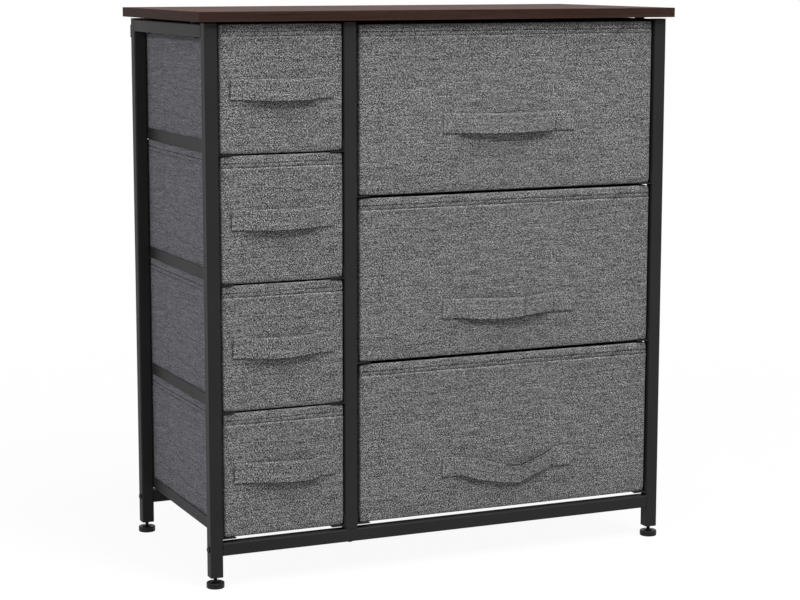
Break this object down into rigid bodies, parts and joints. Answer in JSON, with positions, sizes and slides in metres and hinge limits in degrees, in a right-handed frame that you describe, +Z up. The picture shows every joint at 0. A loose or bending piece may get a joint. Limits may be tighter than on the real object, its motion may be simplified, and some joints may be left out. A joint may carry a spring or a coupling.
{
  "type": "fabric drawer dresser",
  "caption": "Steel-framed dresser with a wooden top, a narrow and a wide column of grey fabric bins with strap handles, and levelling feet.",
  "frame": {"origin": "on the floor, under the middle of the top board", "axes": "+Z up, +Y from the open front to the rear, +X to the right as seen from the front"},
  "size_m": [0.8, 0.394, 0.8715],
  "materials": {
    "black_steel": "satin powder coat",
    "dark_wood_top": "matt wood-grain laminate",
    "grey_fabric": "heather linen weave",
    "grey_strap_fabric": "heather linen weave, sewn strap",
    "fibreboard": "raw fibreboard",
    "black_plastic": "moulded",
    "black_rubber": "matt",
    "dark_zinc": "black zinc plate"
  },
  "bodies": {
    "frame": {"frame_bolts": "dark_zinc", "front_bottom_beam": "black_steel", "front_left_post": "black_steel", "front_middle_post": "black_steel", "front_right_post": "black_steel", "left_frame_runners": "black_steel", "left_top_rail": "black_steel", "middle_frame_left_runners": "black_steel", "middle_frame_right_runners": "black_steel", "middle_top_rail": "black_steel", "post_top_caps": "black_plastic", "rear_bottom_beam": "black_steel", "rear_left_post": "black_steel", "rear_middle_post": "black_steel", "rear_right_post": "black_steel", "rear_strap_screws": "dark_zinc", "rear_top_strap": "black_steel", "right_frame_runners": "black_steel", "right_top_rail": "black_steel", "threaded_inserts": "dark_zinc", "top_board": "dark_wood_top", "top_board_screws": "dark_zinc", "top_board_spacers": "black_rubber"},
    "small_drawer_1": {"small_drawer_1_bin": "grey_fabric", "small_drawer_1_bottom_board": "fibreboard", "small_drawer_1_handle_strap": "grey_strap_fabric", "small_drawer_1_wall_boards": "fibreboard"},
    "small_drawer_2": {"small_drawer_2_bin": "grey_fabric", "small_drawer_2_bottom_board": "fibreboard", "small_drawer_2_handle_strap": "grey_strap_fabric", "small_drawer_2_wall_boards": "fibreboard"},
    "small_drawer_3": {"small_drawer_3_bin": "grey_fabric", "small_drawer_3_bottom_board": "fibreboard", "small_drawer_3_handle_strap": "grey_strap_fabric", "small_drawer_3_wall_boards": "fibreboard"},
    "small_drawer_4": {"small_drawer_4_bin": "grey_fabric", "small_drawer_4_bottom_board": "fibreboard", "small_drawer_4_handle_strap": "grey_strap_fabric", "small_drawer_4_wall_boards": "fibreboard"},
    "large_drawer_1": {"large_drawer_1_bin": "grey_fabric", "large_drawer_1_bottom_board": "fibreboard", "large_drawer_1_handle_strap": "grey_strap_fabric", "large_drawer_1_wall_boards": "fibreboard"},
    "large_drawer_2": {"large_drawer_2_bin": "grey_fabric", "large_drawer_2_bottom_board": "fibreboard", "large_drawer_2_handle_strap": "grey_strap_fabric", "large_drawer_2_wall_boards": "fibreboard"},
    "large_drawer_3": {"large_drawer_3_bin": "grey_fabric", "large_drawer_3_bottom_board": "fibreboard", "large_drawer_3_handle_strap": "grey_strap_fabric", "large_drawer_3_wall_boards": "fibreboard"},
    "front_left_foot": {"front_left_foot_pad": "black_plastic"},
    "front_left_foot_screw": {"front_left_foot_stem": "dark_zinc"},
    "front_right_foot": {"front_right_foot_pad": "black_plastic"},
    "front_right_foot_screw": {"front_right_foot_stem": "dark_zinc"},
    "rear_left_foot": {"rear_left_foot_pad": "black_plastic"},
    "rear_left_foot_screw": {"rear_left_foot_stem": "dark_zinc"},
    "rear_right_foot": {"rear_right_foot_pad": "black_plastic"},
    "rear_right_foot_screw": {"rear_right_foot_stem": "dark_zinc"}
  },
  "joints": [
    {"name": "small_drawer_1_slide", "type": "slide", "parent": "frame", "child": "small_drawer_1", "axis": [0, -1, 0], "range_m": [0, 0.26]},
    {"name": "small_drawer_2_slide", "type": "slide", "parent": "frame", "child": "small_drawer_2", "axis": [0, -1, 0], "range_m": [0, 0.26]},
    {"name": "small_drawer_3_slide", "type": "slide", "parent": "frame", "child": "small_drawer_3", "axis": [0, -1, 0], "range_m": [0, 0.26]},
    {"name": "small_drawer_4_slide", "type": "slide", "parent": "frame", "child": "small_drawer_4", "axis": [0, -1, 0], "range_m": [0, 0.26]},
    {"name": "large_drawer_1_slide", "type": "slide", "parent": "frame", "child": "large_drawer_1", "axis": [0, -1, 0], "range_m": [0, 0.26]},
    {"name": "large_drawer_2_slide", "type": "slide", "parent": "frame", "child": "large_drawer_2", "axis": [0, -1, 0], "range_m": [0, 0.26]},
    {"name": "large_drawer_3_slide", "type": "slide", "parent": "frame", "child": "large_drawer_3", "axis": [0, -1, 0], "range_m": [0, 0.26]},
    {"name": "front_left_foot_height", "type": "slide", "parent": "frame", "child": "front_left_foot", "axis": [0, 0, -1], "range_m": [-0.005, 0.008]},
    {"name": "front_left_foot_turn", "type": "hinge", "parent": "front_left_foot", "child": "front_left_foot_screw", "pos_m": [-0.3795, -0.178, 0.01], "axis": [0, 0, 1], "range_deg": [-2881, 1801]},
    {"name": "front_right_foot_height", "type": "slide", "parent": "frame", "child": "front_right_foot", "axis": [0, 0, -1], "range_m": [-0.005, 0.008]},
    {"name": "front_right_foot_turn", "type": "hinge", "parent": "front_right_foot", "child": "front_right_foot_screw", "pos_m": [0.3795, -0.178, 0.01], "axis": [0, 0, 1], "range_deg": [-2881, 1801]},
    {"name": "rear_left_foot_height", "type": "slide", "parent": "frame", "child": "rear_left_foot", "axis": [0, 0, -1], "range_m": [-0.005, 0.008]},
    {"name": "rear_left_foot_turn", "type": "hinge", "parent": "rear_left_foot", "child": "rear_left_foot_screw", "pos_m": [-0.3795, 0.178, 0.01], "axis": [0, 0, 1], "range_deg": [-2881, 1801]},
    {"name": "rear_right_foot_height", "type": "slide", "parent": "frame", "child": "rear_right_foot", "axis": [0, 0, -1], "range_m": [-0.005, 0.008]},
    {"name": "rear_right_foot_turn", "type": "hinge", "parent": "rear_right_foot", "child": "rear_right_foot_screw", "pos_m": [0.3795, 0.178, 0.01], "axis": [0, 0, 1], "range_deg": [-2881, 1801]}
  ],
  "couplings": [
    {"joint": "front_left_foot_turn", "follows": "front_left_foot_height", "rad_per_m": -6283.2},
    {"joint": "front_right_foot_turn", "follows": "front_right_foot_height", "rad_per_m": -6283.2},
    {"joint": "rear_left_foot_turn", "follows": "rear_left_foot_height", "rad_per_m": -6283.2},
    {"joint": "rear_right_foot_turn", "follows": "rear_right_foot_height", "rad_per_m": -6283.2}
  ]
}
